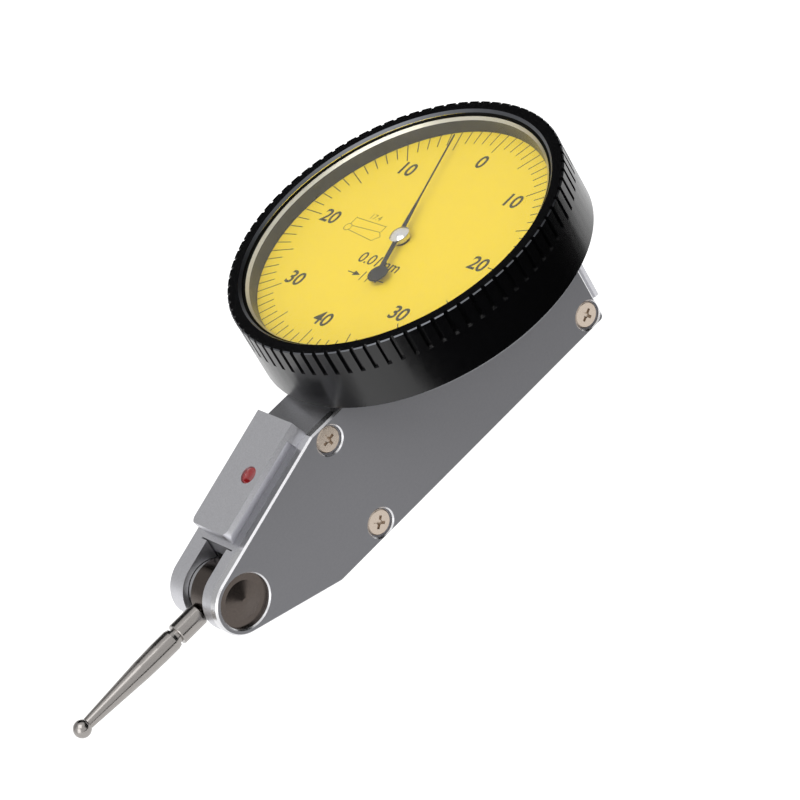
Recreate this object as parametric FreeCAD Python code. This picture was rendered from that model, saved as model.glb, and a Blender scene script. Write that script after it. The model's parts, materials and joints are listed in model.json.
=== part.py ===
"""Dial test indicator with a horizontal body, a swivelling lever contact point and a turning bezel.

Millimetres. The origin is the point of the flat underside below the dial's axis. +X runs to the
rear of the body, +Y to the side without a cover, and +Z up through the dial. The contact point
lies along -X. Every piece is drawn in place and written to parts/NODE.step.
"""
import FreeCAD
import Part
import math
import os

from FreeCAD import Vector

# ---- body ------------------------------------------------------------------------------------
BODY_WIDTH = 8.6            # over the frame and its cover
BODY_HEIGHT = 16.2          # underside to the top that carries the dial
BODY_REAR = 14.3            # dial axis to the rear face
PIVOT_TO_DIAL = 38.2        # lever pivot to the dial axis
PIVOT_HEIGHT = 7.07
NOSE_RADIUS = 3.75
BROW_ANGLE = 18.1           # slope of the nose's upper face, degrees
CHIN_ANGLE = 17.0           # slope of the nose's lower face, degrees
WALL = 1.6
FAR_WALL = 1.4
COVER_THICKNESS = 1.0
EDGE_BREAK = 0.2
BORE_BREAK = 0.15           # mouths of the pivot bore and of the cover screws' recesses
REAR_CORNER_RADIUS = 0.6
CAVITY_START = 7.0          # pivot to the movement's chamber

# ---- pivot slot, bearings and clutch -----------------------------------------------------------
SLOT_WIDTH = 3.55
SLOT_DEPTH = 2.4            # pivot to the slot's back wall
SLOT_RELIEF = 0.35          # round the drum
SLOT_CORNER_WIDTH = 0.15    # relief cut at the slot's back corner
SLOT_CORNER_DEPTH = 0.9
SWING_DOWN = 120            # degrees that the contact point turns down from level
SWING_RELIEF = 0.4          # round its collar there
WINDOW_HEIGHT = 4.8         # where the lever passes from the slot to the chamber
PIVOT_BORE_RADIUS = 3.06
PIVOT_SHAFT_RADIUS = 0.8
PIVOT_SHAFT_LENGTH = 5.6
BEARING_LENGTH = 1.9
BEARING_CONE_RADIUS = 2.2
BEARING_CONE_HEIGHT = 0.45
BEARING_TIP_RADIUS = 0.35
RUNNING_CLEARANCE = 0.04    # radial, shaft in bearing
SEAT_CLEARANCE = 0.02       # radial, between pieces fixed to each other
SIDE_CLEARANCE = 0.075      # between what turns and a wall beside it
DRUM_RADIUS = 3.44
DRUM_WIDTH = 2.45
WASHER_RADIUS = 2.2
WASHER_THICKNESS = 0.06
WASHER_GAP = 0.02

# ---- contact point -----------------------------------------------------------------------------
STYLUS_LENGTH = 20.94       # pivot to the ball's centre
BALL_RADIUS = 1.0
COLLAR_START = 3.54
COLLAR_END = 6.8
COLLAR_RADIUS = 1.25
WRENCH_GROOVE = 0.45
WRENCH_GROOVE_RADIUS = 0.85
COLLAR_BREAK = 0.1
SHANK_RADIUS = 1.2
SHANK_SHOULDER = 0.4        # rounded end beside the wrench groove
SHANK_STRAIGHT = 9.6        # pivot to where the taper starts
SHANK_EASE = 2.6            # length over which it steepens
NECK_RADIUS = 0.64
THREAD_RADIUS = 0.6
THREAD_DEPTH = 1.8

# ---- dovetails -----------------------------------------------------------------------------------
DOVETAIL_WIDTH = 6.0
DOVETAIL_NECK = 4.6
DOVETAIL_LAND = 0.7         # upright part of each flank
DOVETAIL_HEIGHT = 2.1
DOVETAIL_START = 4.3        # pivot to the front dovetail, along the brow
DOVETAIL_LENGTH = 13.8
DOVETAIL_STOP = 1.8         # end of the front dovetail that has no undercut
DOVETAIL_CORNER = 0.9
REAR_DOVETAIL_HEIGHT = 1.35
REAR_DOVETAIL_FOOT = 1.9   # underside to its lower end
REAR_DOVETAIL_LAND = 0.45
MARK_RADIUS = 1.0
MARK_ALONG = 11.3           # pivot to the red mark, along the brow
MARK_ASIDE = -1.2
MARK_DEPTH = 0.5
MARK_FILL = 0.3

# ---- screws of the side cover ----------------------------------------------------------------------
COVER_SCREW_INSET_TOP = 2.0
COVER_SCREW_INSET_BOTTOM = 1.85
COVER_SCREW_BEHIND = 1.6    # end of the brow to the two front screws
COVER_SCREW_INSET_REAR = 1.7
COVER_SCREW_HEAD_RADIUS = 1.46
COVER_SCREW_SINK = 0.25     # cover's face to the head
COVER_SCREW_RIM = 0.15
COVER_SCREW_CONE = 0.5      # height of the countersunk part
COVER_SCREW_HEAD_BREAK = 0.12
COVER_SCREW_RECESS_RADIUS = 1.62
COVER_SCREW_SHANK_RADIUS = 0.7
COVER_SCREW_LENGTH = 4.2
COVER_SCREW_BOSS_RADIUS = 2.0
CROSS_SPAN = 1.5
CROSS_WIDTH = 0.34
CROSS_DEPTH = 0.35
CROSS_PIT_RADIUS = 0.34
COVER_SCREW_TURNS = (80, 45, 60)

# ---- gear train ------------------------------------------------------------------------------------
SECTOR_PINION_RADIUS = 1.2  # pitch circle
SECTOR_PINION_TEETH = 12
SECTOR_TEETH_BELOW = 3      # below the line of centres at rest
SECTOR_TEETH_ABOVE = 6
CROWN_RADIUS = 4.8          # pitch circle
CROWN_TEETH = 64
CENTRE_PINION_TEETH = 12
ADDENDUM = 0.8              # in modules
DEDENDUM = 1.2
SECTOR_DEPTH = 7.0          # sector plate, from its root circle inwards
SECTOR_THICKNESS = 0.6
ARM_THICKNESS = 0.6
ARM_STEP = 0.05             # hub's inner face to the arm
ARM_ROOT_HEIGHT = 2.6
ARM_TIP_HEIGHT = 1.7
ARM_OVERLAP = 3.6           # of arm and sector plate
RIVET_RADIUS = 0.35
LEVER_HUB_RADIUS = 3.0
LEVER_HUB_WIDTH = 0.85
CROWN_FACE = 0.5
CROWN_DISC = 0.5
CROWN_HOLES = 5
CROWN_HOLE_RADIUS = 1.0
ARBOR_RADIUS = 0.5
ARBOR_PIVOT_RADIUS = 0.3
BUSH_RADIUS = 1.2
BUSH_THICKNESS = 0.9
BUSH_SEAT = 0.5
PINION_FACE = 0.9

# ---- dial, base and bezel --------------------------------------------------------------------------
BEZEL_RADIUS = 19.52
BEZEL_WALL = 1.52           # skirt
BEZEL_SEAT_WALL = 1.6       # round the dial and the crystal
BEZEL_BOTTOM = 1.1          # above the body
BEZEL_HEIGHT = 7.97
BEZEL_LEDGE_WIDTH = 1.02
BEZEL_LEDGE = 0.56
BEZEL_TOP_LAND = 2.64       # bezel top above the dial face
BEZEL_CHAMFER = 0.12
BEZEL_FOOT_CHAMFER = 0.2
LIP_CHAMFER = 0.28          # inner edge of the rim, down to the crystal
RIB_COUNT = 80
RIB_HEIGHT = 3.05
GROOVE_WIDTH = 0.54         # at the mouth
GROOVE_FLOOR = 0.26
GROOVE_DEPTH = 0.36
DIAL_THICKNESS = 0.5
DIAL_HOLE = 0.9
CRYSTAL_THICKNESS = 0.6
CRYSTAL_RECESS = 0.28       # below the rim
SPACER_FOOT = 0.84          # thickness at the dial
SPACER_TOP = 0.6            # thickness below its bright edge
SPACER_CHAMFER = 0.3        # bright edge under the crystal
BASE_CLEARANCE = 0.08
BOSS_RADIUS = 11.0
BASE_FLOOR = 1.0
BASE_WALL = 1.4
BASE_TOP_GAP = 0.2
RING_WIDTH = 0.72           # rubber ring, across its section
RETAINER_WIDTH = 0.6        # retaining ring, across its section
RETAINER_BITE = 0.2         # how far it stands into the bezel
RETAINER_CLEARANCE = 0.08
GROOVE_CLEARANCE = 0.05
CENTRE_HOLE = 1.3

# ---- pointer, centre arbor and hairspring ------------------------------------------------------------
POINTER_RADIUS = 15.8
POINTER_REST = 23.3         # degrees from the rear, towards +Y
POINTER_LIFT = 0.78
POINTER_THICKNESS = 0.12
POINTER_ROOT_WIDTH = 0.6
POINTER_TIP_WIDTH = 0.14
POINTER_WAIST = 6.4         # where the blade turns thin
POINTER_TAIL = 6.0
TAIL_DISC_RADIUS = 1.17
TAIL_WIDTH = 0.55
HUB_RADIUS = 1.15
HUB_HEIGHT = 0.45
HUB_COLLAR_RADIUS = 1.05
HUB_COLLAR_HEIGHT = 0.45
HUB_NECK_RADIUS = 0.5
CENTRE_ARBOR_RADIUS = 0.4
SPRING_START = 1.15
SPRING_END = 4.6
SPRING_TURNS = 5
SPRING_THICKNESS = 0.08
SPRING_HEIGHT = 0.4
SPRING_LIFT = 0.9           # above the base's floor
SPRING_STEPS = 20           # straight steps per turn
STUD_RADIUS = 0.35
STUD_SLOT = 0.28
COLLET_RADIUS = 0.95
COLLET_HEIGHT = 0.8
BRIDGE_LENGTH = 19.0
BRIDGE_WIDTH = 4.4
BRIDGE_THICKNESS = 0.7
BRIDGE_UNDER = 2.0          # clear height above the base's floor
BRIDGE_FOOT = 4.0
SMALL_SCREW_HEAD = 1.1
SMALL_SCREW_HEAD_HEIGHT = 0.5
SMALL_SCREW_SHANK = 0.5
BASE_SCREW_PLACE = 8.6      # dial axis to each screw that holds the base on the frame
BASE_SCREW_DEPTH = 1.2
BRACKET_THICKNESS = 0.8
BRACKET_FRONT = 0.75        # dial axis to the bracket's front edge
BRACKET_REACH = 0.5         # past the dial axis
BRACKET_REAR = 2.75
BRACKET_FOOT_LENGTH = 3.6
BRACKET_FOOT_HEIGHT = 2.8

# ---- worked out from the sizes above -------------------------------------------------------------------
HALF = BODY_WIDTH / 2
COVER_INNER = -HALF + COVER_THICKNESS
CHAMBER_FAR = HALF - FAR_WALL
PIVOT_X = -PIVOT_TO_DIAL
BEZEL_Z = BODY_HEIGHT + BEZEL_BOTTOM
BEZEL_TOP = BEZEL_Z + BEZEL_HEIGHT
DIAL_Z = BEZEL_TOP - BEZEL_TOP_LAND
LEDGE_Z = DIAL_Z - DIAL_THICKNESS
FLOOR_Z = BEZEL_Z
FLOOR_TOP = FLOOR_Z + BASE_FLOOR
BEZEL_BORE = BEZEL_RADIUS - BEZEL_WALL
BEZEL_SEAT_BORE = BEZEL_RADIUS - BEZEL_SEAT_WALL
BEZEL_LEDGE_BORE = BEZEL_SEAT_BORE - BEZEL_LEDGE_WIDTH
BASE_RADIUS = BEZEL_BORE - BASE_CLEARANCE
BASE_TOP = LEDGE_Z - BEZEL_LEDGE - BASE_TOP_GAP
CRYSTAL_TOP = BEZEL_TOP - CRYSTAL_RECESS
CRYSTAL_Z = CRYSTAL_TOP - CRYSTAL_THICKNESS
SECTOR_RADIUS = PIVOT_TO_DIAL - SECTOR_PINION_RADIUS
SECTOR_MODULE = 2 * SECTOR_PINION_RADIUS / SECTOR_PINION_TEETH
CROWN_MODULE = 2 * CROWN_RADIUS / CROWN_TEETH
CENTRE_PINION_RADIUS = CROWN_MODULE * CENTRE_PINION_TEETH / 2
CROWN_TOP = PIVOT_HEIGHT + CROWN_RADIUS
LEVER_HUB_Y = SLOT_WIDTH / 2 - SIDE_CLEARANCE - LEVER_HUB_WIDTH
ARM_Y = LEVER_HUB_Y + ARM_STEP
SECTOR_Y = ARM_Y + ARM_THICKNESS
DRUM_Y = -SLOT_WIDTH / 2 + SIDE_CLEARANCE
THREAD_END = DRUM_RADIUS - THREAD_DEPTH
SPRING_Z = FLOOR_TOP + SPRING_LIFT
BRIDGE_Z = FLOOR_TOP + BRIDGE_UNDER
POINTER_Z = DIAL_Z + POINTER_LIFT
HUB_TOP = POINTER_Z + POINTER_THICKNESS + HUB_HEIGHT
BRACKET_TOP = CROWN_TOP - CROWN_FACE - 0.35
BROW = math.radians(BROW_ANGLE)
CHIN = math.radians(CHIN_ANGLE)
BROW_END = PIVOT_X + (BODY_HEIGHT - PIVOT_HEIGHT - NOSE_RADIUS / math.cos(BROW)) / math.tan(BROW)
CHIN_END = PIVOT_X + (PIVOT_HEIGHT - NOSE_RADIUS / math.cos(CHIN)) / math.tan(CHIN)
COVER_SCREWS = [(BROW_END + COVER_SCREW_BEHIND, BODY_HEIGHT - COVER_SCREW_INSET_TOP),
                (BROW_END + COVER_SCREW_BEHIND, COVER_SCREW_INSET_BOTTOM),
                (BODY_REAR - COVER_SCREW_INSET_REAR, COVER_SCREW_INSET_BOTTOM)]

X_AXIS = Vector(1, 0, 0)
Y_AXIS = Vector(0, 1, 0)
Z_AXIS = Vector(0, 0, 1)
PIVOT = Vector(PIVOT_X, 0, PIVOT_HEIGHT)


# ---- general shapes ------------------------------------------------------------------------------------
def box(x0, x1, y0, y1, z0, z1):
    return Part.makeBox(x1 - x0, y1 - y0, z1 - z0, Vector(x0, y0, z0))


def rod_y(radius, x, z, y0, y1):
    """A cylinder along Y."""
    return Part.makeCylinder(radius, y1 - y0, Vector(x, y0, z), Y_AXIS)


def rod_z(radius, x, y, z0, z1):
    """A cylinder along Z."""
    return Part.makeCylinder(radius, z1 - z0, Vector(x, y, z0), Z_AXIS)


def face(points):
    """A flat face inside a closed polygon."""
    return Part.Face(Part.makePolygon(points + [points[0]]))


def turned(profile, centre=Vector(0, 0, 0), axis=Z_AXIS):
    """A body of revolution: profile is (radius, height along the axis), closed by the last point."""
    side = X_AXIS if abs(axis.z) > 0.5 else Z_AXIS
    points = [centre + side * r + axis * h for r, h in profile]
    return face(points).revolve(centre, axis, 360)


def ring(outer, inner, z0, z1):
    return turned([(inner, z0), (outer, z0), (outer, z1), (inner, z1)])


def slanted(shape):
    """Turns a shape drawn along +X at the pivot's height onto the brow's slope."""
    out = shape.copy()
    out.rotate(PIVOT, Y_AXIS, -BROW_ANGLE)
    return out


# ---- body ------------------------------------------------------------------------------------------------
def outline():
    """The side view of the body, as a closed wire in the plane Y = 0."""
    brow_touch = PIVOT + Vector(-math.sin(BROW), 0, math.cos(BROW)) * NOSE_RADIUS
    chin_touch = PIVOT + Vector(-math.sin(CHIN), 0, -math.cos(CHIN)) * NOSE_RADIUS
    nose_tip = PIVOT - X_AXIS * NOSE_RADIUS
    brow_end = Vector(BROW_END, 0, BODY_HEIGHT)
    chin_end = Vector(CHIN_END, 0, 0)
    r = REAR_CORNER_RADIUS
    rear_top = Vector(BODY_REAR, 0, BODY_HEIGHT)
    rear_low = Vector(BODY_REAR, 0, r)
    under_end = Vector(BODY_REAR - r, 0, 0)
    corner_mid = Vector(BODY_REAR - r + r * math.sqrt(0.5), 0, r - r * math.sqrt(0.5))
    edges = [Part.Arc(chin_touch, nose_tip, brow_touch).toShape(),
             Part.makeLine(brow_touch, brow_end),
             Part.makeLine(brow_end, rear_top),
             Part.makeLine(rear_top, rear_low),
             Part.Arc(rear_low, corner_mid, under_end).toShape(),
             Part.makeLine(under_end, chin_end),
             Part.makeLine(chin_end, chin_touch)]
    return Part.Wire(edges)


def slab(wire, y0, y1):
    """The area inside an outline, from y0 to y1."""
    out = Part.Face(wire).extrude(Y_AXIS * (y1 - y0))
    out.translate(Y_AXIS * y0)
    return out


def broken_edges(shape, y, size):
    """Breaks the sharp edges of a flat face at Y = y."""
    edges = [e for e in shape.Edges if all(abs(v.Point.y - y) < 1e-6 for v in e.Vertexes)]
    return shape.makeChamfer(size, edges)


def chamber():
    """The room for the movement, open to the cover, less the bosses of the cover's screws."""
    inner = slab(outline().makeOffset2D(-WALL), COVER_INNER, CHAMBER_FAR)
    room = inner.common(box(PIVOT_X + CAVITY_START, BODY_REAR, -HALF, HALF, 0, BODY_HEIGHT))
    bosses = [rod_y(COVER_SCREW_BOSS_RADIUS, x, z, -HALF, HALF) for x, z in COVER_SCREWS]
    return room.cut(bosses)


def dovetail(length, height, land, x, z):
    """A dovetail rail along X on the level z, starting at x."""
    half = DOVETAIL_WIDTH / 2
    neck = DOVETAIL_NECK / 2
    points = [(-neck, -WALL / 2), (-neck, 0), (-half, height - land), (-half, height),
              (half, height), (half, height - land), (neck, 0), (neck, -WALL / 2)]
    section = face([Vector(x, y, z + up) for y, up in points])
    return section.extrude(X_AXIS * length)


def front_dovetail():
    """The rail on the brow: rounded lower corners and a full-width stop at its upper end."""
    x = PIVOT_X + DOVETAIL_START
    z = PIVOT_HEIGHT + NOSE_RADIUS
    rail = dovetail(DOVETAIL_LENGTH, DOVETAIL_HEIGHT, DOVETAIL_LAND, x, z)
    half = DOVETAIL_WIDTH / 2
    end = x + DOVETAIL_LENGTH
    stop = box(end - DOVETAIL_STOP, end, -half, half, z - WALL / 2, z + DOVETAIL_HEIGHT)
    low, high, r = z - WALL / 2, z + DOVETAIL_HEIGHT, DOVETAIL_CORNER
    plan = box(x + r, end, -half, half, low, high).fuse(box(x, end, -half + r, half - r, low, high))
    rounds = [rod_z(r, x + r, side * (half - r), low, high) for side in (-1, 1)]
    return slanted(rail.fuse(stop).common(plan.fuse(rounds)))


def rear_dovetail():
    """The upright rail on the rear face."""
    length = BODY_HEIGHT - REAR_DOVETAIL_FOOT
    rail = dovetail(length, REAR_DOVETAIL_HEIGHT, REAR_DOVETAIL_LAND, 0, 0)
    rail.rotate(Vector(0, 0, 0), Y_AXIS, 90)
    rail.translate(Vector(BODY_REAR, 0, BODY_HEIGHT))
    return rail


def mark_place():
    """The middle of the red mark on top of the front dovetail, before it is slanted."""
    return Vector(PIVOT_X + MARK_ALONG, MARK_ASIDE, PIVOT_HEIGHT + NOSE_RADIUS + DOVETAIL_HEIGHT)


def red_mark():
    """Lacquer in the dimple, hollow on top."""
    p = mark_place()
    r = MARK_RADIUS - SEAT_CLEARANCE
    fill = rod_z(r, p.x, p.y, p.z - MARK_DEPTH, p.z - MARK_DEPTH + MARK_FILL)
    ball = Part.makeSphere(2 * r, p + Z_AXIS * (2 * r - MARK_DEPTH + MARK_FILL / 2))
    return slanted(fill.cut(ball))


def pivot_slot():
    """The slot between the ears, with room for the drum and a window for the lever."""
    half = SLOT_WIDTH / 2
    front = PIVOT_X - NOSE_RADIUS - 1
    slot = box(front, PIVOT_X + SLOT_DEPTH, -half, half, 0, BODY_HEIGHT)
    back = PIVOT_X + SLOT_DEPTH
    corner = box(back - SLOT_CORNER_WIDTH, back, -half - SLOT_CORNER_DEPTH, half + SLOT_CORNER_DEPTH,
                 PIVOT_HEIGHT, BODY_HEIGHT)
    room = rod_y(DRUM_RADIUS + SLOT_RELIEF, PIVOT_X, PIVOT_HEIGHT, -half, half)
    low = PIVOT_HEIGHT - WINDOW_HEIGHT / 2
    window = box(PIVOT_X, PIVOT_X + CAVITY_START + WALL, -half, half, low, low + WINDOW_HEIGHT)
    reach = COLLAR_RADIUS + SWING_RELIEF
    swing = box(PIVOT_X - STYLUS_LENGTH, PIVOT_X, -half, half, PIVOT_HEIGHT - reach, PIVOT_HEIGHT + reach)
    swing.rotate(PIVOT, Y_AXIS, -SWING_DOWN)
    return slot.fuse([corner, room, window, swing])


def bore_mouth(side):
    """The cutter that breaks the edge of the pivot bore on the outer face at Y = side x HALF."""
    edge = PIVOT_BORE_RADIUS + BORE_BREAK
    profile = [(0, 0), (edge, 0), (PIVOT_BORE_RADIUS, BORE_BREAK), (0, BORE_BREAK)]
    return turned(profile, PIVOT + Y_AXIS * (side * HALF), Y_AXIS * -side)


def frame():
    body = broken_edges(slab(outline(), COVER_INNER, HALF), HALF, EDGE_BREAK)
    body = body.fuse([front_dovetail(), rear_dovetail()])
    p = mark_place()
    cuts = [chamber(), pivot_slot(),
            rod_y(PIVOT_BORE_RADIUS, PIVOT_X, PIVOT_HEIGHT, -HALF, HALF), bore_mouth(1),
            slanted(rod_z(MARK_RADIUS, p.x, p.y, p.z - MARK_DEPTH, p.z)),
            rod_z(CENTRE_HOLE, 0, 0, BODY_HEIGHT - 2 * WALL, BODY_HEIGHT),
            rod_y(BUSH_RADIUS, 0, PIVOT_HEIGHT, CHAMBER_FAR, CHAMBER_FAR + BUSH_SEAT),
            bracket_screw(SEAT_CLEARANCE)]
    cuts += [rod_y(COVER_SCREW_SHANK_RADIUS + SEAT_CLEARANCE, x, z, COVER_INNER,
                   -HALF + COVER_SCREW_LENGTH) for x, z in COVER_SCREWS]
    cuts += base_screws(SEAT_CLEARANCE)
    return body.cut(cuts).removeSplitter()


def side_cover():
    cover = broken_edges(slab(outline(), -HALF, COVER_INNER), -HALF, EDGE_BREAK)
    cuts = [rod_y(PIVOT_BORE_RADIUS, PIVOT_X, PIVOT_HEIGHT, -HALF, COVER_INNER), bore_mouth(-1),
            rod_y(BUSH_RADIUS, 0, PIVOT_HEIGHT, COVER_INNER - BUSH_SEAT, COVER_INNER)]
    cuts += [cover_screw_hole(x, z) for x, z in COVER_SCREWS]
    return cover.cut(cuts)


def cover_screw_hole(x, z):
    """The stepped hole for a cover screw: broken edge, recess, countersink and bore."""
    recess = COVER_SCREW_RECESS_RADIUS
    head = COVER_SCREW_HEAD_RADIUS + SEAT_CLEARANCE
    shank = COVER_SCREW_SHANK_RADIUS + SEAT_CLEARANCE
    rim = COVER_SCREW_SINK + COVER_SCREW_RIM
    profile = [(0, 0), (recess + BORE_BREAK, 0), (recess, BORE_BREAK), (recess, rim), (head, rim),
               (shank, rim + COVER_SCREW_CONE), (shank, COVER_THICKNESS), (0, COVER_THICKNESS)]
    return turned(profile, Vector(x, -HALF, z), Y_AXIS)


def cover_screw(x, z):
    """A countersunk screw along Y whose head sits below the cover's face."""
    head = COVER_SCREW_HEAD_RADIUS
    shank = COVER_SCREW_SHANK_RADIUS
    b = COVER_SCREW_HEAD_BREAK
    rim = COVER_SCREW_SINK + COVER_SCREW_RIM
    end = COVER_SCREW_LENGTH - SEAT_CLEARANCE
    profile = [(0, COVER_SCREW_SINK), (head - b, COVER_SCREW_SINK), (head, COVER_SCREW_SINK + b), (head, rim),
               (shank, rim + COVER_SCREW_CONE), (shank, end), (0, end)]
    return turned(profile, Vector(x, -HALF, z), Y_AXIS)


def cover_screws():
    """Three screws with cross recesses, each turned to its own angle."""
    top = -HALF + COVER_SCREW_SINK
    half = CROSS_WIDTH / 2
    reach = CROSS_SPAN / 2
    screws = []
    for turn, (x, z) in zip(COVER_SCREW_TURNS, COVER_SCREWS):
        arms = [rod_y(CROSS_PIT_RADIUS, x, z, top, top + CROSS_DEPTH)]
        for angle in (turn, turn + 90):
            arm = box(x - reach, x + reach, top, top + CROSS_DEPTH, z - half, z + half)
            arm.rotate(Vector(x, top, z), Y_AXIS, angle)
            arms.append(arm)
        screws.append(cover_screw(x, z).cut(arms))
    return screws


# ---- pivot, lever and contact point ---------------------------------------------------------------------
def pivot_bearings():
    """A bearing in each ear, with a cone that looks out of the bore."""
    radius = PIVOT_BORE_RADIUS - SEAT_CLEARANCE
    inner = SLOT_WIDTH / 2 + SIDE_CLEARANCE
    hole = PIVOT_SHAFT_RADIUS + RUNNING_CLEARANCE
    depth = PIVOT_SHAFT_LENGTH / 2 + RUNNING_CLEARANCE
    outer = inner + BEARING_LENGTH
    profile = [(hole, inner), (radius, inner), (radius, outer), (BEARING_CONE_RADIUS, outer),
               (BEARING_TIP_RADIUS, outer + BEARING_CONE_HEIGHT), (0, outer + BEARING_CONE_HEIGHT),
               (0, depth), (hole, depth)]
    return [turned(profile, PIVOT, Y_AXIS), turned(profile, PIVOT, -Y_AXIS)]


def pivot_shaft():
    half = PIVOT_SHAFT_LENGTH / 2
    return rod_y(PIVOT_SHAFT_RADIUS, PIVOT_X, PIVOT_HEIGHT, -half, half)


def stylus_drum():
    """The black drum that carries the contact point and slips on the lever's shaft."""
    drum = rod_y(DRUM_RADIUS, PIVOT_X, PIVOT_HEIGHT, DRUM_Y, DRUM_Y + DRUM_WIDTH)
    bore = rod_y(PIVOT_SHAFT_RADIUS + RUNNING_CLEARANCE, PIVOT_X, PIVOT_HEIGHT, -HALF, HALF)
    thread = Part.makeCylinder(THREAD_RADIUS + SEAT_CLEARANCE, DRUM_RADIUS,
                               PIVOT - X_AXIS * THREAD_END, -X_AXIS)
    return drum.cut([bore, thread])


def stylus():
    """Threaded root, collar, wrench groove and a shank that runs straight, then tapers to the ball."""
    groove_end = COLLAR_END + WRENCH_GROOVE
    tip = STYLUS_LENGTH - BALL_RADIUS * 0.6
    ease = SHANK_STRAIGHT + SHANK_EASE
    slope = (SHANK_RADIUS - NECK_RADIUS) / (tip - SHANK_STRAIGHT - SHANK_EASE / 2)
    profile = [(0, THREAD_END + SEAT_CLEARANCE), (THREAD_RADIUS, THREAD_END + SEAT_CLEARANCE),
               (THREAD_RADIUS, COLLAR_START), (COLLAR_RADIUS - COLLAR_BREAK, COLLAR_START),
               (COLLAR_RADIUS, COLLAR_START + COLLAR_BREAK), (COLLAR_RADIUS, COLLAR_END - COLLAR_BREAK),
               (COLLAR_RADIUS - COLLAR_BREAK, COLLAR_END), (WRENCH_GROOVE_RADIUS, COLLAR_END),
               (WRENCH_GROOVE_RADIUS, groove_end), (SHANK_RADIUS - COLLAR_BREAK, groove_end),
               (SHANK_RADIUS, groove_end + SHANK_SHOULDER), (SHANK_RADIUS, SHANK_STRAIGHT),
               (NECK_RADIUS + slope * (tip - ease), ease), (NECK_RADIUS, tip), (0, tip)]
    return turned(profile, PIVOT, -X_AXIS)


def stylus_ball(shank):
    return Part.makeSphere(BALL_RADIUS, PIVOT - X_AXIS * STYLUS_LENGTH).cut(shank)


def clutch_washer():
    y = DRUM_Y + DRUM_WIDTH + WASHER_GAP
    outer = rod_y(WASHER_RADIUS, PIVOT_X, PIVOT_HEIGHT, y, y + WASHER_THICKNESS)
    return outer.cut(rod_y(PIVOT_SHAFT_RADIUS + SEAT_CLEARANCE, PIVOT_X, PIVOT_HEIGHT, -HALF, HALF))


def sector_inner():
    return SECTOR_RADIUS - DEDENDUM * SECTOR_MODULE - SECTOR_DEPTH


def rivet_places():
    """Distances from the pivot of the two rivets that join the arm and the sector plate."""
    first = sector_inner() + ARM_OVERLAP * 0.25
    return [first, first + ARM_OVERLAP * 0.5]


def lever():
    """The hub disc on the pivot shaft and the tapered arm that carries the sector."""
    hub = rod_y(LEVER_HUB_RADIUS, PIVOT_X, PIVOT_HEIGHT, LEVER_HUB_Y, LEVER_HUB_Y + LEVER_HUB_WIDTH)
    end = sector_inner() + ARM_OVERLAP
    root = ARM_ROOT_HEIGHT / 2
    tip = ARM_TIP_HEIGHT / 2
    points = [PIVOT + Vector(x, ARM_Y, z) for x, z in ((0, -root), (end, -tip), (end, tip), (0, root))]
    arm = face(points).extrude(Y_AXIS * ARM_THICKNESS)
    holes = [rod_y(RIVET_RADIUS, PIVOT_X + r, PIVOT_HEIGHT, ARM_Y, SECTOR_Y) for r in rivet_places()]
    shaft = rod_y(PIVOT_SHAFT_RADIUS + SEAT_CLEARANCE, PIVOT_X, PIVOT_HEIGHT, -HALF, HALF)
    return hub.fuse(arm).cut(holes + [shaft])


def sector_rivets():
    y0 = ARM_Y
    y1 = SECTOR_Y + SECTOR_THICKNESS
    r = RIVET_RADIUS - SEAT_CLEARANCE
    return [rod_y(r, PIVOT_X + x, PIVOT_HEIGHT, y0, y1) for x in rivet_places()]


def sector_gear():
    """A fan-shaped plate with fine teeth on its rear edge, centred on the lever's pivot."""
    pitch = 2 * math.pi * SECTOR_PINION_RADIUS / SECTOR_PINION_TEETH
    step = pitch / SECTOR_RADIUS
    root = SECTOR_RADIUS - DEDENDUM * SECTOR_MODULE
    crest = SECTOR_RADIUS + ADDENDUM * SECTOR_MODULE

    def at(radius, angle):
        return PIVOT + Vector(radius * math.cos(angle), SECTOR_Y, radius * math.sin(angle))

    points = [at(sector_inner(), 0) - Z_AXIS * ARM_TIP_HEIGHT / 2,
              at(root, -SECTOR_TEETH_BELOW * step)]
    for tooth in range(-SECTOR_TEETH_BELOW, SECTOR_TEETH_ABOVE):
        middle = (tooth + 0.5) * step
        for radius, share in ((root, -0.31), (crest, -0.11), (crest, 0.11), (root, 0.31)):
            points.append(at(radius, middle + share * step))
    points.append(at(root, SECTOR_TEETH_ABOVE * step))
    points.append(at(sector_inner(), 0) + Z_AXIS * ARM_TIP_HEIGHT / 2)
    plate = face(points).extrude(Y_AXIS * SECTOR_THICKNESS)
    holes = [rod_y(RIVET_RADIUS, PIVOT_X + r, PIVOT_HEIGHT, SECTOR_Y, HALF) for r in rivet_places()]
    return plate.cut(holes)


def pinion(radius, teeth, length, bore):
    """A small pinion along Z from the origin, with one tooth towards -X."""
    module = 2 * radius / teeth
    step = 2 * math.pi / teeth
    root = radius - DEDENDUM * module
    crest = radius + ADDENDUM * module
    points = []
    for tooth in range(teeth):
        middle = math.pi + tooth * step
        for r, share in ((root, -0.26), (radius, -0.19), (crest, -0.09),
                         (crest, 0.09), (radius, 0.19), (root, 0.26)):
            angle = middle + share * step
            points.append(Vector(r * math.cos(angle), r * math.sin(angle), 0))
    body = face(points).extrude(Z_AXIS * length)
    return body.cut(Part.makeCylinder(bore, length)) if bore else body


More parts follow.
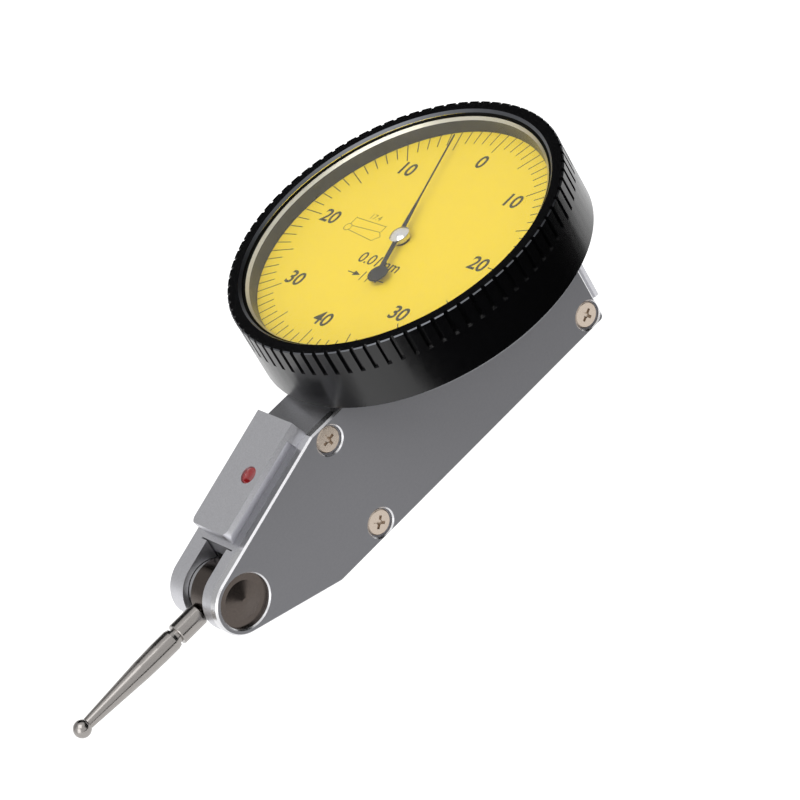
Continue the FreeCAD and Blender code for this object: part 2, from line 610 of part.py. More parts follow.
def crown_arbor():
    """The cross arbor with the pinion that the sector drives."""
    end = BUSH_SEAT - 0.05
    low = COVER_INNER - end
    high = CHAMBER_FAR + end
    thin = BUSH_THICKNESS - BUSH_SEAT + 0.1
    thick = rod_y(ARBOR_RADIUS, 0, PIVOT_HEIGHT, COVER_INNER + thin, CHAMBER_FAR - thin)
    pivots = rod_y(ARBOR_PIVOT_RADIUS, 0, PIVOT_HEIGHT, low, high)
    wheel = pinion(SECTOR_PINION_RADIUS, SECTOR_PINION_TEETH, PINION_FACE, 0)
    wheel.rotate(Vector(0, 0, 0), X_AXIS, -90)
    middle = SECTOR_Y + SECTOR_THICKNESS / 2
    wheel.translate(Vector(0, middle - PINION_FACE / 2, PIVOT_HEIGHT))
    return thick.fuse([pivots, wheel])


def crown_gear():
    """A wheel with teeth on its face, which turn the upright centre pinion."""
    top = -CENTRE_PINION_RADIUS + ADDENDUM * CROWN_MODULE
    root = -CENTRE_PINION_RADIUS - DEDENDUM * CROWN_MODULE
    back = root - CROWN_DISC
    outer = CROWN_RADIUS + CROWN_FACE / 2
    disc = rod_y(outer, 0, PIVOT_HEIGHT, back, root)
    pitch = 2 * math.pi * CROWN_RADIUS / CROWN_TEETH
    wide, narrow = pitch * 0.26, pitch * 0.1
    low = CROWN_RADIUS - CROWN_FACE / 2
    points = [Vector(-wide, root - 0.05, low), Vector(-wide, root, low), Vector(-narrow, top, low),
              Vector(narrow, top, low), Vector(wide, root, low), Vector(wide, root - 0.05, low)]
    tooth = face(points).extrude(Z_AXIS * (CROWN_FACE - 0.03))
    teeth = []
    for i in range(CROWN_TEETH):
        copy = tooth.copy()
        copy.rotate(Vector(0, 0, 0), Y_AXIS, 360 / CROWN_TEETH * (i + 0.5))
        copy.translate(Z_AXIS * PIVOT_HEIGHT)
        teeth.append(copy)
    cuts = [rod_y(ARBOR_RADIUS + SEAT_CLEARANCE, 0, PIVOT_HEIGHT, -HALF, HALF)]
    for i in range(CROWN_HOLES):
        a = 2 * math.pi * i / CROWN_HOLES
        r = CROWN_RADIUS * 0.58
        cuts.append(rod_y(CROWN_HOLE_RADIUS, r * math.sin(a), PIVOT_HEIGHT + r * math.cos(a), -HALF, HALF))
    return disc.cut(cuts).fuse(teeth)


def arbor_bushes():
    """Blind-seated bushes for the cross arbor, one in the cover and one in the frame."""
    r = BUSH_RADIUS - SEAT_CLEARANCE
    hole = ARBOR_PIVOT_RADIUS + RUNNING_CLEARANCE
    bushes = []
    for start, side in ((COVER_INNER - BUSH_SEAT, 1), (CHAMBER_FAR + BUSH_SEAT, -1)):
        profile = [(hole, 0), (r, 0), (r, BUSH_THICKNESS), (hole, BUSH_THICKNESS)]
        bushes.append(turned(profile, Vector(0, start, PIVOT_HEIGHT), Y_AXIS * side))
    return bushes


# ---- centre arbor and its bearings -----------------------------------------------------------------------
def bracket_screw(spare=0.0):
    x = BRACKET_REAR + BRACKET_FOOT_LENGTH / 2
    y = CHAMBER_FAR - BRACKET_THICKNESS
    z = BRACKET_TOP - BRACKET_THICKNESS / 2
    shank = rod_y(SMALL_SCREW_SHANK + spare, x, z, y, HALF - 0.5)
    return shank if spare else shank.fuse(rod_y(SMALL_SCREW_HEAD, x, z, y - SMALL_SCREW_HEAD_HEIGHT, y))


def pinion_bracket():
    """A bracket on the frame's far wall that holds the lower end of the centre arbor."""
    low = BRACKET_TOP - BRACKET_THICKNESS
    shelf = box(-BRACKET_FRONT, BRACKET_REAR, -BRACKET_REACH, CHAMBER_FAR, low, BRACKET_TOP)
    middle = BRACKET_TOP - BRACKET_THICKNESS / 2
    foot = box(0, BRACKET_REAR + BRACKET_FOOT_LENGTH, CHAMBER_FAR - BRACKET_THICKNESS, CHAMBER_FAR,
               middle - BRACKET_FOOT_HEIGHT / 2, middle + BRACKET_FOOT_HEIGHT / 2)
    hole = rod_z(ARBOR_PIVOT_RADIUS - 0.05 + RUNNING_CLEARANCE, 0, 0, low, BRACKET_TOP)
    return shelf.fuse(foot).cut([hole, bracket_screw(SEAT_CLEARANCE)])


def centre_arbor():
    """The upright arbor with the centre pinion, from the bracket to the pointer's hub."""
    thin = ARBOR_PIVOT_RADIUS - 0.05
    wheel_z = CROWN_TOP - PINION_FACE / 2
    pivot = rod_z(thin, 0, 0, BRACKET_TOP - BRACKET_THICKNESS + 0.05, wheel_z)
    stem = rod_z(CENTRE_ARBOR_RADIUS, 0, 0, wheel_z, POINTER_Z + POINTER_THICKNESS)
    wheel = pinion(CENTRE_PINION_RADIUS, CENTRE_PINION_TEETH, PINION_FACE, 0)
    wheel.rotate(Vector(0, 0, 0), Z_AXIS, 90)
    wheel.translate(Z_AXIS * wheel_z)
    return pivot.fuse([stem, wheel])


def collet():
    z = SPRING_Z + SPRING_HEIGHT / 2 - COLLET_HEIGHT / 2
    return ring(COLLET_RADIUS, CENTRE_ARBOR_RADIUS + SEAT_CLEARANCE, z, z + COLLET_HEIGHT)


def hairspring():
    """A flat spiral strip round the centre arbor."""
    steps = SPRING_TURNS * SPRING_STEPS

    def at(step, offset):
        share = step / steps
        radius = SPRING_START + (SPRING_END - SPRING_START) * share + offset
        angle = 2 * math.pi * SPRING_TURNS * share
        return Vector(radius * math.cos(angle), radius * math.sin(angle), SPRING_Z)

    inner = [at(i, -SPRING_THICKNESS / 2) for i in range(steps + 1)]
    outer = [at(i, SPRING_THICKNESS / 2) for i in range(steps + 1)]
    return face(inner + outer[::-1]).extrude(Z_AXIS * SPRING_HEIGHT)


def hairspring_stud():
    """The slotted stud that holds the spring's outer end."""
    stud = rod_z(STUD_RADIUS, SPRING_END, 0, FLOOR_TOP, SPRING_Z + SPRING_HEIGHT + 0.3)
    slot = box(SPRING_END - STUD_SLOT / 2, SPRING_END + STUD_SLOT / 2, -1, 1,
               SPRING_Z - SEAT_CLEARANCE, SPRING_Z + SPRING_HEIGHT + 1)
    return stud.cut(slot)


def bridge_screw_places():
    reach = (BRIDGE_LENGTH - BRIDGE_FOOT) / 2
    return [(0, -reach), (0, reach)]


def small_screw(x, y, top, shank_end, spare=0.0):
    """A cheese-head screw pointing down with its head on the level top; with spare, its hole."""
    shank = rod_z(SMALL_SCREW_SHANK + spare, x, y, shank_end - spare, top)
    return shank if spare else shank.fuse(rod_z(SMALL_SCREW_HEAD, x, y, top, top + SMALL_SCREW_HEAD_HEIGHT))


def bridge_screws(spare=0.0):
    top = BRIDGE_Z + BRIDGE_THICKNESS
    return [small_screw(x, y, top, FLOOR_Z + 0.3, spare) for x, y in bridge_screw_places()]


def base_screws(spare=0.0):
    end = BODY_HEIGHT - BASE_SCREW_DEPTH
    return [small_screw(x, 0, FLOOR_TOP, end, spare) for x in (-BASE_SCREW_PLACE, BASE_SCREW_PLACE)]


def centre_bridge():
    """The bridge across the dial base, with the upper bearing of the centre arbor."""
    half = BRIDGE_LENGTH / 2
    wide = BRIDGE_WIDTH / 2
    top = BRIDGE_Z + BRIDGE_THICKNESS
    bridge = box(-wide, wide, -half, half, FLOOR_TOP, top)
    span = half - BRIDGE_FOOT
    under = box(-wide, wide, -span, span, FLOOR_TOP, BRIDGE_Z)
    hole = rod_z(CENTRE_ARBOR_RADIUS + RUNNING_CLEARANCE, 0, 0, BRIDGE_Z, top)
    return bridge.cut([under, hole] + bridge_screws(SEAT_CLEARANCE))


# ---- dial base and bezel --------------------------------------------------------------------------------
def ring_levels():
    """Mid-heights of the rubber ring and of the retaining ring in the dial base's wall."""
    return FLOOR_TOP + RING_WIDTH / 2 + 0.15, BASE_TOP - RETAINER_WIDTH / 2 - 0.6


def retainer_radius():
    """Outer radius of the retaining ring."""
    return BEZEL_BORE + RETAINER_BITE


def dial_base():
    """The cup on top of the body that the bezel turns on."""
    inner = BASE_RADIUS - BASE_WALL
    cup = turned([(CENTRE_HOLE, BODY_HEIGHT), (BOSS_RADIUS, BODY_HEIGHT), (BOSS_RADIUS, FLOOR_Z),
                  (BASE_RADIUS, FLOOR_Z), (BASE_RADIUS, BASE_TOP), (inner, BASE_TOP),
                  (inner, FLOOR_TOP), (CENTRE_HOLE, FLOOR_TOP)])
    grooves = []
    floors = (BASE_RADIUS - RING_WIDTH, retainer_radius() - RETAINER_WIDTH - GROOVE_CLEARANCE)
    for z, width, floor in zip(ring_levels(), (RING_WIDTH, RETAINER_WIDTH), floors):
        half = width / 2 + GROOVE_CLEARANCE
        grooves.append(ring(BASE_RADIUS + 1, floor, z - half, z + half))
    return cup.cut(grooves + bridge_screws(SEAT_CLEARANCE) + base_screws(SEAT_CLEARANCE))


def o_ring():
    """The rubber ring, eight-sided in section, whose grip holds the bezel where it is set."""
    half = RING_WIDTH / 2
    flat = half * math.tan(math.pi / 8)
    middle = BASE_RADIUS - half + SEAT_CLEARANCE
    z = ring_levels()[0]
    corners = [(-half, -flat), (-flat, -half), (flat, -half), (half, -flat),
               (half, flat), (flat, half), (-flat, half), (-half, flat)]
    return turned([(middle + r, z + up) for r, up in corners])


def retaining_ring():
    """A split spring ring that keeps the bezel from lifting off."""
    z = ring_levels()[1]
    outer = retainer_radius()
    whole = ring(outer, outer - RETAINER_WIDTH, z - RETAINER_WIDTH / 2, z + RETAINER_WIDTH / 2)
    return whole.cut(box(0, BEZEL_RADIUS, -1.5, 1.5, BEZEL_Z, BEZEL_TOP))


def rib_groove(angle):
    """The cutter for one finger groove: a slot that narrows inwards, with a sloping lower end."""
    foot = BEZEL_TOP - RIB_HEIGHT
    top = BEZEL_TOP + 1
    spread = (GROOVE_WIDTH - GROOVE_FLOOR) / 2

    def section(x, half, low):
        corners = [(-half, low), (half, low), (half, top), (-half, top)]
        points = [Vector(x, y, z) for y, z in corners]
        return Part.makePolygon(points + [points[0]])

    mouth = section(BEZEL_RADIUS, GROOVE_WIDTH / 2, foot)
    floor = section(BEZEL_RADIUS - GROOVE_DEPTH, GROOVE_FLOOR / 2, foot + spread)
    slot = Part.makeLoft([floor, mouth], True, True)
    slot.rotate(Vector(0, 0, 0), Z_AXIS, angle)
    return slot


def bezel():
    """The turning ring: smooth skirt below, ribbed band above, seats for dial and crystal inside."""
    z = ring_levels()[1]
    half = RETAINER_WIDTH / 2 + RETAINER_CLEARANCE
    c = BEZEL_CHAMFER
    under_ledge = LEDGE_Z - BEZEL_LEDGE
    f = BEZEL_FOOT_CHAMFER
    body = turned([(BEZEL_BORE, BEZEL_Z), (BEZEL_RADIUS - f, BEZEL_Z), (BEZEL_RADIUS, BEZEL_Z + f),
                   (BEZEL_RADIUS, BEZEL_TOP - c), (BEZEL_RADIUS - c, BEZEL_TOP),
                   (BEZEL_SEAT_BORE + LIP_CHAMFER, BEZEL_TOP), (BEZEL_SEAT_BORE, BEZEL_TOP - LIP_CHAMFER),
                   (BEZEL_SEAT_BORE, LEDGE_Z), (BEZEL_LEDGE_BORE, LEDGE_Z),
                   (BEZEL_LEDGE_BORE, under_ledge), (BEZEL_BORE, under_ledge)])
    ring_groove = ring(retainer_radius() + RETAINER_CLEARANCE, BEZEL_BORE - 1, z - half, z + half)
    return body.cut([ring_groove] + [rib_groove(360 * (i + 0.5) / RIB_COUNT) for i in range(RIB_COUNT)])


def dial_plate():
    return ring(BEZEL_SEAT_BORE - SEAT_CLEARANCE, DIAL_HOLE, LEDGE_Z, DIAL_Z)


def spacer_ring():
    """The dark ring between the dial's edge and the crystal, with a bright chamfer at its top."""
    outer = BEZEL_SEAT_BORE - SEAT_CLEARANCE
    edge = outer - SPACER_TOP
    return turned([(outer - SPACER_FOOT, DIAL_Z), (outer, DIAL_Z), (outer, CRYSTAL_Z),
                   (edge + SPACER_CHAMFER, CRYSTAL_Z), (edge, CRYSTAL_Z - SPACER_CHAMFER)])


def crystal():
    return rod_z(BEZEL_SEAT_BORE - SEAT_CLEARANCE, 0, 0, CRYSTAL_Z, CRYSTAL_TOP)


# ---- pointer -----------------------------------------------------------------------------------------------
def pointer():
    """A flat pointer with a broad root, a hair-thin tip and a disc on its tail."""
    root = POINTER_ROOT_WIDTH / 2
    tip = POINTER_TIP_WIDTH / 2
    tail = TAIL_WIDTH / 2
    waist = POINTER_WAIST
    points = [(-POINTER_TAIL, -tail), (0, -tail), (0, -root), (waist, -tip), (POINTER_RADIUS, -tip),
              (POINTER_RADIUS, tip), (waist, tip), (0, root), (0, tail), (-POINTER_TAIL, tail)]
    blade = face([Vector(x, y, POINTER_Z) for x, y in points]).extrude(Z_AXIS * POINTER_THICKNESS)
    top = POINTER_Z + POINTER_THICKNESS
    disc = rod_z(TAIL_DISC_RADIUS, -POINTER_TAIL, 0, POINTER_Z, top)
    boss = rod_z(HUB_RADIUS * 0.8, 0, 0, POINTER_Z, top)
    hole = rod_z(HUB_NECK_RADIUS + SEAT_CLEARANCE, 0, 0, POINTER_Z, top)
    hand = blade.fuse([disc, boss]).cut(hole)
    hand.rotate(Vector(0, 0, 0), Z_AXIS, POINTER_REST)
    return hand


def pointer_hub():
    """The bright domed hub that is pressed on the arbor and grips the pointer like a rivet."""
    bore = CENTRE_ARBOR_RADIUS + SEAT_CLEARANCE
    top = POINTER_Z + POINTER_THICKNESS
    low = POINTER_Z - HUB_COLLAR_HEIGHT
    lower = turned([(bore, low), (HUB_COLLAR_RADIUS, low), (HUB_COLLAR_RADIUS, POINTER_Z),
                    (HUB_NECK_RADIUS, POINTER_Z), (HUB_NECK_RADIUS, top), (bore, top)])
    ball = (HUB_RADIUS ** 2 + HUB_HEIGHT ** 2) / (2 * HUB_HEIGHT)
    dome = Part.makeSphere(ball, Vector(0, 0, HUB_TOP - ball))
    return lower.fuse(dome.common(rod_z(HUB_RADIUS + 1, 0, 0, top, HUB_TOP + 1)))


# ---- output ------------------------------------------------------------------------------------------------
def write(node, shape):
    solids = shape if isinstance(shape, list) else [shape]
    whole = Part.makeCompound([s for item in solids for s in item.Solids])
    whole.exportStep("parts/" + node + ".step")
    print(node, len(whole.Solids), round(sum(s.Volume for s in whole.Solids), 3), whole.isValid())


def main():
    os.makedirs("parts", exist_ok=True)
    shank = stylus()
    write("frame", frame())
    write("side_cover", side_cover())
    write("cover_screws", cover_screws())
    write("red_mark", red_mark())
    write("pivot_bearings", pivot_bearings())
    write("arbor_bushes", arbor_bushes())
    write("pinion_bracket", pinion_bracket())
    write("bracket_screw", bracket_screw())
    write("dial_base", dial_base())
    write("base_screws", base_screws())
    write("o_ring", o_ring())
    write("retaining_ring", retaining_ring())
    write("centre_bridge", centre_bridge())
    write("bridge_screws", bridge_screws())
    write("hairspring", hairspring())
    write("hairspring_stud", hairspring_stud())
    write("bezel", bezel())
    write("dial_plate", dial_plate())
    write("spacer_ring", spacer_ring())
    write("crystal", crystal())
    write("pointer", pointer())
    write("pointer_hub", pointer_hub())
    write("centre_arbor", centre_arbor())
    write("collet", collet())
    write("crown_arbor", crown_arbor())
    write("crown_gear", crown_gear())
    write("lever", lever())
    write("sector_gear", sector_gear())
    write("sector_rivets", sector_rivets())
    write("pivot_shaft", pivot_shaft())
    write("clutch_washer", clutch_washer())
    write("stylus_drum", stylus_drum())
    write("stylus", shank)
    write("stylus_ball", stylus_ball(shank))


main()
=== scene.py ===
"""Dial test indicator: finishes, dial print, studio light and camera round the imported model.

Metres, in the model's own frame: the origin is on the flat underside below the dial's axis,
+X to the rear, +Z up through the dial. MM turns millimetres into metres.
"""
import json
import math

import bmesh
import bpy
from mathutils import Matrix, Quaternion, Vector


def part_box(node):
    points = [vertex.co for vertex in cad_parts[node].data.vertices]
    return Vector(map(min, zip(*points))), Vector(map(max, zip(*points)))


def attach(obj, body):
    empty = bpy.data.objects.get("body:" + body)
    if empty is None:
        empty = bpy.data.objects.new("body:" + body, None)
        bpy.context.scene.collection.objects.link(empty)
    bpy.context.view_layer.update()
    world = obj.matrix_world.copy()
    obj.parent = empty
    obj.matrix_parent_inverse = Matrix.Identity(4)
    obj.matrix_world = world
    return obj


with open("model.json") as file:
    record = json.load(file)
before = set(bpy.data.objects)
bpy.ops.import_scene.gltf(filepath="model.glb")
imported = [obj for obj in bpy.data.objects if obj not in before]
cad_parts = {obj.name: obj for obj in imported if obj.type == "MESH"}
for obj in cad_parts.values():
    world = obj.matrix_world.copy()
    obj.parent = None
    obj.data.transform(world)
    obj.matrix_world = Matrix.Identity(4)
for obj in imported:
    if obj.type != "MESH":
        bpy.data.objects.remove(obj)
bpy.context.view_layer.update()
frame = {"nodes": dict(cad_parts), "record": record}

nodes = frame["nodes"]
MM = 0.001

# ---- sizes read from the model -------------------------------------------------------------------
DIAL_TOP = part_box("dial_plate")[1].z

# ---- dial print, in millimetres ------------------------------------------------------------------
# A place on the dial is (along, aside): towards the zero, and to its reader's right.
PRINT_TURN = 0.54           # degrees that the bezel stands turned from the body's line
INK_HEIGHT = 0.015
DIVISIONS = 80
LONG_TICK_EVERY = 5
TICK_OUTER = 17.04
TICK_LONG_INNER = 14.2
TICK_SHORT_INNER = 15.15
TICK_WIDTH = 0.11
NUMERALS = (0, 10, 20, 30, 40, 30, 20, 10)
NUMERAL_RADIUS = 12.6
NUMERAL_HEIGHT = 1.8
NUMERAL_WEIGHT = 0.045      # thickening of the letters' outline
CAP_SHARE = 0.7             # capital height of the built-in letters as a share of their size
UNIT_HEIGHT = 1.45
UNIT_WEIGHT = 0.01
UNIT_PLACE = (-3.65, 0.05)
ARROW_LEVEL = -5.85         # the line along which both arrows point
ARROW_LINE = 0.13
ARROW_SHAFT = (3.0, 1.8)    # outer and inner end of each shaft, from the middle
ARROW_HEAD = (2.0, 0.95)    # foot and tip of each head, from the middle
ARROW_HEAD_HALF = 0.36
BAR_ASIDE = 0.5
BAR_HALF = 0.65
SKETCH_LINE = 0.09
SKETCH_DIMENSION = (        # the dimension line and its two end lines
    ((0.98, -9.0), (0.98, -3.9)), ((1.1, -9.0), (-0.05, -9.0)), ((1.1, -3.9), (0.1, -3.9)))
SKETCH_SHANK = (            # the tapered shank and its collar
    ((-0.2, -8.5), (0.05, -4.0)), ((-0.85, -8.5), (-1.3, -4.0)), ((0.05, -4.0), (-0.15, -3.75)),
    ((-0.15, -3.75), (-0.5, -3.35)), ((-0.5, -3.35), (-0.9, -3.75)), ((-0.9, -3.75), (-1.3, -4.0)))
SKETCH_BALL = (-0.52, -8.95)
SKETCH_BALL_RADIUS = 0.5
SKETCH_BALL_SIDES = 24
LENGTH_TEXT_HEIGHT = 0.75
LENGTH_TEXT_PLACE = (1.7, -6.45)

# ---- camera --------------------------------------------------------------------------------------
CAMERA_AIM = Vector((-10.65, -2.2, 10.0)) * MM
CAMERA_DISTANCE = 445.3 * MM
CAMERA_AZIMUTH = -23.66
CAMERA_ELEVATION = 34.08
CAMERA_ROLL = -30.92
CAMERA_LENS = 189.7         # focal length in millimetres
SENSOR_WIDTH = 36
CLIP_START = 0.01

# ---- studio, in metres and watts -----------------------------------------------------------------
STUDIO_AIM = (-0.01, 0, 0.015)
SOFTBOXES = {               # place, size, power
    "top_softbox": ((-0.15, -0.1, 0.5), (0.4, 0.4), 0.9),
    "left_softbox": ((-0.45, -0.15, 0.2), (0.3, 0.4), 0.7),
}
CARDS = {                   # corners, and the colour that reflections show
    "front_floor_card": (((-0.045, -0.03, 0.0004), (0.3, 0.02, 0.0004), (0.6, -0.4, 0.0004),
                          (-0.5, -0.5, 0.0004)), "#161616"),
    "right_card": (((0.2, -0.5, 0), (0.5, 0.2, 0), (0.5, 0.2, 0.35), (0.2, -0.5, 0.35)), "#181818"),
    "back_card": (((0.1, 0.6, 0.1), (1.3, 0.2, 0.1), (1.3, 0.2, 1.1), (0.1, 0.6, 1.1)), "#202020"),
    "back_left_card": (((-0.7, 0.5, 0.1), (0.1, 0.6, 0.1), (0.1, 0.6, 1.1), (-0.7, 0.5, 1.1)),
                       "#C4C4C4"),
}
WORLD_LIGHT = 0.25          # strength that lights the part
WORLD_SEEN = 1.0            # strength that is seen, which is white
FLOOR_SIZE = 6
FLOOR_LEVEL = -0.018        # below the underside: room for the contact point's downward swing


def linear(hex_colour):
    """An sRGB hex colour as linear red, green, blue, alpha."""
    values = [int(hex_colour[i:i + 2], 16) / 255 for i in (1, 3, 5)]
    return [v / 12.92 if v <= 0.04045 else ((v + 0.055) / 1.055) ** 2.4 for v in values] + [1.0]


def add(tree, kind, settings=None, **inputs):
    """Adds a node: settings are its own options, inputs are values or sockets to link.

    An input goes by its name, or by its number where names repeat: _6 is the seventh socket.
    """
    node = tree.nodes.new(kind)
    for name, value in (settings or {}).items():
        setattr(node, name, value)
    for name, value in inputs.items():
        socket = node.inputs[int(name[1:]) if name[1:].isdigit() else name.replace("_", " ")]
        if isinstance(value, bpy.types.NodeSocket):
            tree.links.new(value, socket)
        else:
            socket.default_value = value
    return node


def surface(name, colour, metallic, roughness, **sockets):
    """A material with one Principled shader. Returns the material, its tree and the shader."""
    material = bpy.data.materials.new(name)
    material.use_nodes = True
    tree = material.node_tree
    shader = tree.nodes["Principled BSDF"]
    shader.inputs["Base Color"].default_value = linear(colour)
    shader.inputs["Metallic"].default_value = metallic
    shader.inputs["Roughness"].default_value = roughness
    for socket, value in sockets.items():
        shader.inputs[socket.replace("_", " ")].default_value = value
    return material, tree, shader


def grain(tree, shader, size_mm, colours, roughness, height_mm, stretch=(1, 1, 1)):
    """Noise of a real grain size that varies colour and roughness a little and roughens the surface."""
    place = add(tree, "ShaderNodeTexCoord").outputs["Object"]
    place = add(tree, "ShaderNodeMapping", Vector=place, Scale=stretch).outputs["Vector"]
    noise = add(tree, "ShaderNodeTexNoise", Vector=place, Scale=1 / (size_mm * MM), Detail=3.0)
    level = noise.outputs["Fac"]
    tint = add(tree, "ShaderNodeMix", {"data_type": "RGBA"}, _0=level, _6=linear(colours[0]),
               _7=linear(colours[1]))
    gloss = add(tree, "ShaderNodeMapRange", Value=level, _3=roughness[0], _4=roughness[1])
    bump = add(tree, "ShaderNodeBump", Height=level, Strength=1.0, Distance=height_mm * MM)
    tree.links.new(tint.outputs[2], shader.inputs["Base Color"])
    tree.links.new(gloss.outputs["Result"], shader.inputs["Roughness"])
    tree.links.new(bump.outputs["Normal"], shader.inputs["Normal"])


# ---- finishes ------------------------------------------------------------------------------------
def satin_chrome():
    """Blasted and chromed alloy: pale, soft reflections with a fine sparkle from the blasting."""
    material, tree, shader = surface("satin_chrome_plate", "#C4C4C6", 1.0, 0.36)
    grain(tree, shader, 0.16, ("#B2B2B6", "#D4D4D8"), (0.3, 0.46), 0.012)
    return material


def bright_edges(tree, shader, axis, low, high, colour, roughness):
    """Bare metal on the cut edges: the faces whose normal has a share of the axis from low to high."""
    facing = add(tree, "ShaderNodeSeparateXYZ", Vector=add(tree, "ShaderNodeTexCoord").outputs["Normal"])
    share = add(tree, "ShaderNodeMath", {"operation": "ABSOLUTE"}, _0=facing.outputs[axis])
    above = add(tree, "ShaderNodeMath", {"operation": "GREATER_THAN"}, _0=share.outputs[0], _1=low)
    below = add(tree, "ShaderNodeMath", {"operation": "LESS_THAN"}, _0=share.outputs[0], _1=high)
    edge = add(tree, "ShaderNodeMath", {"operation": "MULTIPLY"}, _0=above.outputs[0],
               _1=below.outputs[0]).outputs[0]
    for name, value in (("Base Color", linear(colour)), ("Roughness", roughness), ("Metallic", 1.0)):
        socket = shader.inputs[name]
        if name == "Base Color":
            mix = add(tree, "ShaderNodeMix", {"data_type": "RGBA"}, _0=edge, _7=value)
            tree.links.new(socket.links[0].from_socket, mix.inputs[6])
            tree.links.new(mix.outputs[2], socket)
        else:
            mix = add(tree, "ShaderNodeMix", _0=edge, _3=value)
            if socket.links:
                tree.links.new(socket.links[0].from_socket, mix.inputs[2])
            else:
                mix.inputs[2].default_value = socket.default_value
            tree.links.new(mix.outputs[0], socket)


def cover_enamel():
    """Sprayed grey enamel, cut back to bright metal on the broken edges and in the bores."""
    material, tree, shader = surface("sprayed_grey_enamel", "#A8A8AC", 0.0, 0.42)
    grain(tree, shader, 0.25, ("#A2A2A8", "#AEAEB2"), (0.36, 0.48), 0.001)
    bright_edges(tree, shader, "Y", -1, 0.95, "#D2D2D4", 0.25)
    return material


def nickel_screw():
    """Nickel-plated steel: warm and bright, with turned rings too fine to see singly."""
    material, tree, shader = surface("nickel_plated_steel", "#B8A99B", 1.0, 0.26)
    grain(tree, shader, 0.15, ("#AFA092", "#C6BAAD"), (0.2, 0.34), 0.002)
    return material


def red_lacquer():
    """A drop of lacquer: deep colour under a wet gloss."""
    material, tree, shader = surface("red_lacquer", "#A00F16", 0.0, 0.2, Coat_Weight=1.0)
    grain(tree, shader, 0.5, ("#900C12", "#B0161E"), (0.15, 0.25), 0.004)
    return material


def bezel_gloss_black():
    """Black coated metal: a glossy skin that mirrors the body, turned bright on the rim's edges."""
    material, tree, shader = surface("gloss_black_coated_metal", "#0A0A0B", 0.0, 0.24)
    grain(tree, shader, 0.6, ("#08080A", "#0D0D0F"), (0.2, 0.28), 0.0006)
    bright_edges(tree, shader, "Z", 0.5, 0.9, "#5E6064", 0.35)
    return material


def spacer_coat():
    """Black anodised aluminium, satin, with a diamond-cut chamfer at the top."""
    material, tree, shader = surface("black_anodised_aluminium", "#1B1A14", 0.0, 0.3)
    grain(tree, shader, 0.25, ("#17160F", "#22211A"), (0.25, 0.38), 0.002)
    bright_edges(tree, shader, "Z", 0.5, 0.9, "#C9C6B8", 0.3)
    return material


def dial_enamel():
    """Yellow stoved enamel on the dial plate: flat colour with a slight sheen."""
    material, tree, shader = surface("yellow_dial_enamel", "#EFD112", 0.0, 0.5)
    grain(tree, shader, 0.3, ("#EDCE10", "#F1D41C"), (0.46, 0.54), 0.0005)
    return material


def dial_ink(name, colours):
    """Screen-printed ink, a little uneven in its cover."""
    material, tree, shader = surface(name, colours[0], 0.0, 0.55)
    grain(tree, shader, 0.1, colours, (0.5, 0.6), 0.001)
    return material


def clear_crystal():
    """Clear acrylic. Shadow rays pass through it, so that the dial below is lit as the real one is."""
    material, tree, shader = surface("clear_acrylic", "#FFFFFF", 0.0, 0.02, Transmission_Weight=1.0,
                                     IOR=1.49)
    rays = add(tree, "ShaderNodeLightPath")
    clear = add(tree, "ShaderNodeBsdfTransparent")
    either = add(tree, "ShaderNodeMixShader", _0=rays.outputs["Is Shadow Ray"],
                 _1=shader.outputs["BSDF"], _2=clear.outputs["BSDF"])
    tree.links.new(either.outputs["Shader"], tree.nodes["Material Output"].inputs["Surface"])
    return material


def metal(name, colours, roughness, size_mm=0.2, height_mm=0.0008, stretch=(1, 1, 1)):
    """A bare or plated metal with a fine finish of the given grain."""
    material, tree, shader = surface(name, colours[0], 1.0, roughness)
    grain(tree, shader, size_mm, colours, (roughness * 0.85, roughness * 1.15), height_mm, stretch)
    return material


def black_paint():
    """Black paint on the thin pointer: dark with a soft sheen."""
    material, tree, shader = surface("black_pointer_paint", "#070706", 0.0, 0.5)
    grain(tree, shader, 0.2, ("#060605", "#0B0B09"), (0.45, 0.55), 0.0006)
    return material


def ring_rubber():
    """Nitrile rubber: matt black."""
    material, tree, shader = surface("nitrile_rubber", "#141414", 0.0, 0.75)
    grain(tree, shader, 0.2, ("#111111", "#191919"), (0.7, 0.8), 0.001)
    return material


FINISHES = {
    "satin_chrome": satin_chrome(),
    "grey_cover": cover_enamel(),
    "screw_nickel": nickel_screw(),
    "red_lacquer": red_lacquer(),
    "black_bezel": bezel_gloss_black(),
    "yellow_dial": dial_enamel(),
    "spacer_black": spacer_coat(),
    "crystal": clear_crystal(),
    "pointer_black": black_paint(),
    "hub_chrome": metal("polished_chrome", ("#D0D0D0", "#DADADA"), 0.1),
    "brass_works": metal("brushed_brass", ("#C9A85A", "#D6B870"), 0.3),
    "steel_works": metal("ground_steel", ("#A8A8A8", "#B8B8B8"), 0.3),
    "spring_steel": metal("blued_spring_steel", ("#2E3A5E", "#3C4A72"), 0.25),
    "dark_steel": metal("blackened_steel", ("#4A4442", "#5E5650"), 0.24),
    "polished_steel": metal("ground_tool_steel", ("#8A8684", "#A29E9A"), 0.2, 0.08, 0.0006, (0.1, 1, 1)),
    "ring_rubber": ring_rubber(),
    "base_alloy": metal("turned_aluminium", ("#8A8A8C", "#969698"), 0.35),
}
INK = dial_ink("olive_black_ink", ("#2B2904", "#3A3708"))
FINE_INK = dial_ink("thin_olive_ink", ("#8F7F0C", "#9C8B12"))


def dress():
    """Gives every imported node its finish."""
    slots = {row["node"]: row["material_slot"] for row in frame["record"]["subparts"]}
    for name, node in nodes.items():
        node.data.materials.clear()
        node.data.materials.append(FINISHES[slots[name]])


